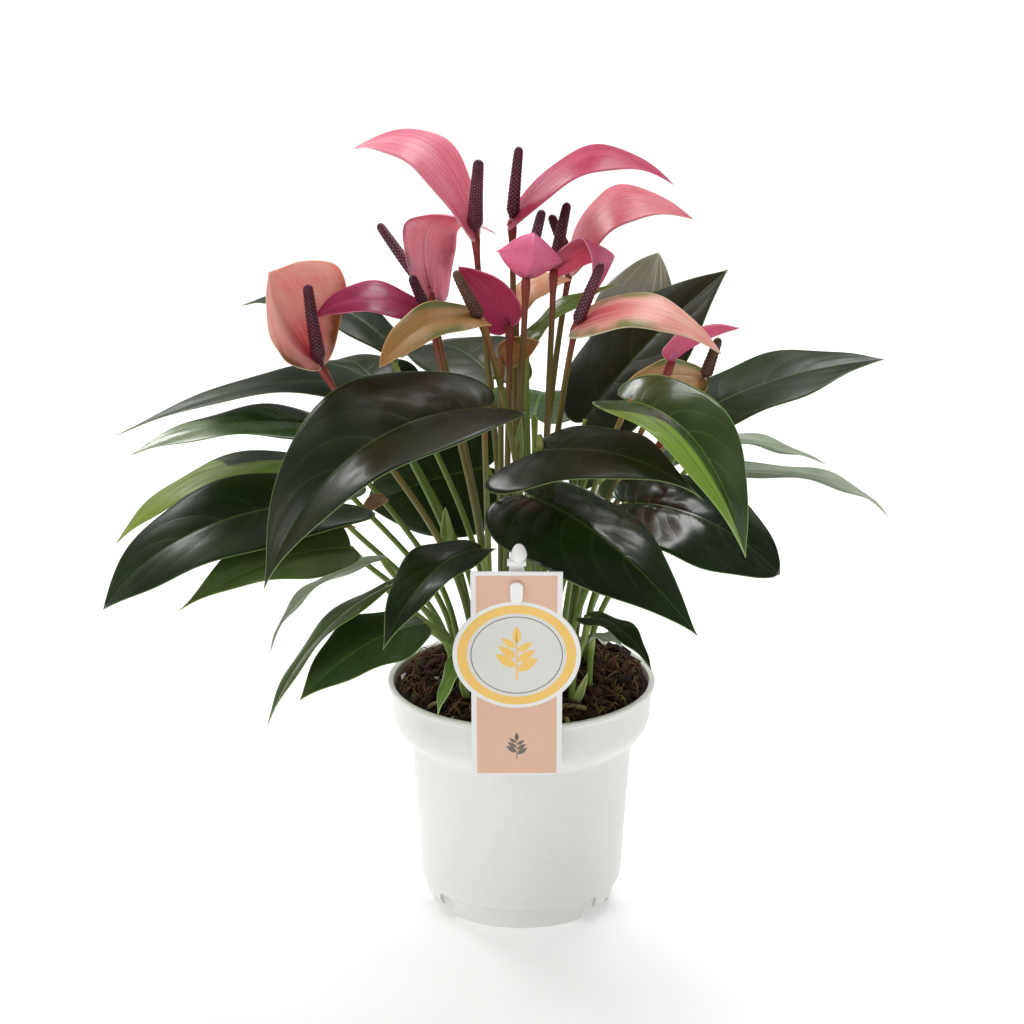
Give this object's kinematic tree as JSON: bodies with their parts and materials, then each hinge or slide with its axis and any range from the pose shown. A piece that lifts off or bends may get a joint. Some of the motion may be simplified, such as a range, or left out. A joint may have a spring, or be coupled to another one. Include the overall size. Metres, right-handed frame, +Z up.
{
  "type": "potted flamingo flower",
  "caption": "Flamingo flower in a white nursery pot: glossy heart-shaped leaves, pink spathes with dark spadices on upright stalks, and a plain hang card on a stake.",
  "frame": {"origin": "middle of the circle that the pot's foot stands on", "axes": "+Z up, -Y towards the front, where the card hangs, +X to its right as seen from the front"},
  "size_m": [0.3456, 0.2276, 0.3523],
  "materials": {
    "pot_plastic": "satin white",
    "potting_soil": "loose peat and fibre",
    "tag_card": "coated card",
    "stake_plastic": "moulded white",
    "leaf": "waxy, glossy",
    "young_leaf": "waxy, glossy",
    "spathe_pink": "waxy satin",
    "spathe_magenta": "waxy gloss",
    "spathe_salmon": "waxy satin",
    "spathe_faded": "waxy, dull",
    "spadix": "beaded"
  },
  "bodies": {
    "root": {"pot": "pot_plastic", "soil": "potting_soil", "tag_card": "tag_card", "tag_stake": "stake_plastic", "leaf_01": "leaf", "leaf_02": "leaf", "leaf_03": "leaf", "leaf_04": "leaf", "leaf_05": "leaf", "leaf_06": "leaf", "leaf_07": "leaf", "leaf_08": "leaf", "leaf_09": "leaf", "leaf_10": "leaf", "leaf_11": "leaf", "leaf_12": "leaf", "leaf_13": "leaf", "leaf_14": "leaf", "leaf_15": "leaf", "leaf_16": "leaf", "leaf_17": "leaf", "leaf_18": "leaf", "leaf_19": "leaf", "leaf_20": "leaf", "leaf_21": "leaf", "leaf_22": "leaf", "leaf_23": "leaf", "leaf_24": "leaf", "leaf_25": "leaf", "leaf_26": "leaf", "leaf_27": "young_leaf", "leaf_28": "leaf", "bloom_01_spathe": "spathe_salmon", "bloom_02_spathe": "spathe_magenta", "bloom_03_spathe": "spathe_pink", "bloom_04_spathe": "spathe_pink", "bloom_05_spathe": "spathe_magenta", "bloom_06_spathe": "spathe_salmon", "bloom_07_spathe": "spathe_magenta", "bloom_08_spathe": "spathe_magenta", "bloom_09_spathe": "spathe_salmon", "bloom_10_spathe": "spathe_pink", "bloom_11_spathe": "spathe_faded", "bloom_12_spathe": "spathe_faded", "bloom_13_spathe": "spathe_magenta", "bloom_14_spathe": "spathe_faded", "bloom_15_spathe": "spathe_faded", "bloom_16_spathe": "spathe_pink", "bloom_01_spadix": "spadix", "bloom_02_spadix": "spadix", "bloom_03_spadix": "spadix", "bloom_04_spadix": "spadix", "bloom_05_spadix": "spadix", "bloom_06_spadix": "spadix", "bloom_07_spadix": "spadix", "bloom_08_spadix": "spadix", "bloom_09_spadix": "spadix", "bloom_10_spadix": "spadix", "bloom_11_spadix": "spadix", "bloom_12_spadix": "spadix"}
  },
  "joints": []
}
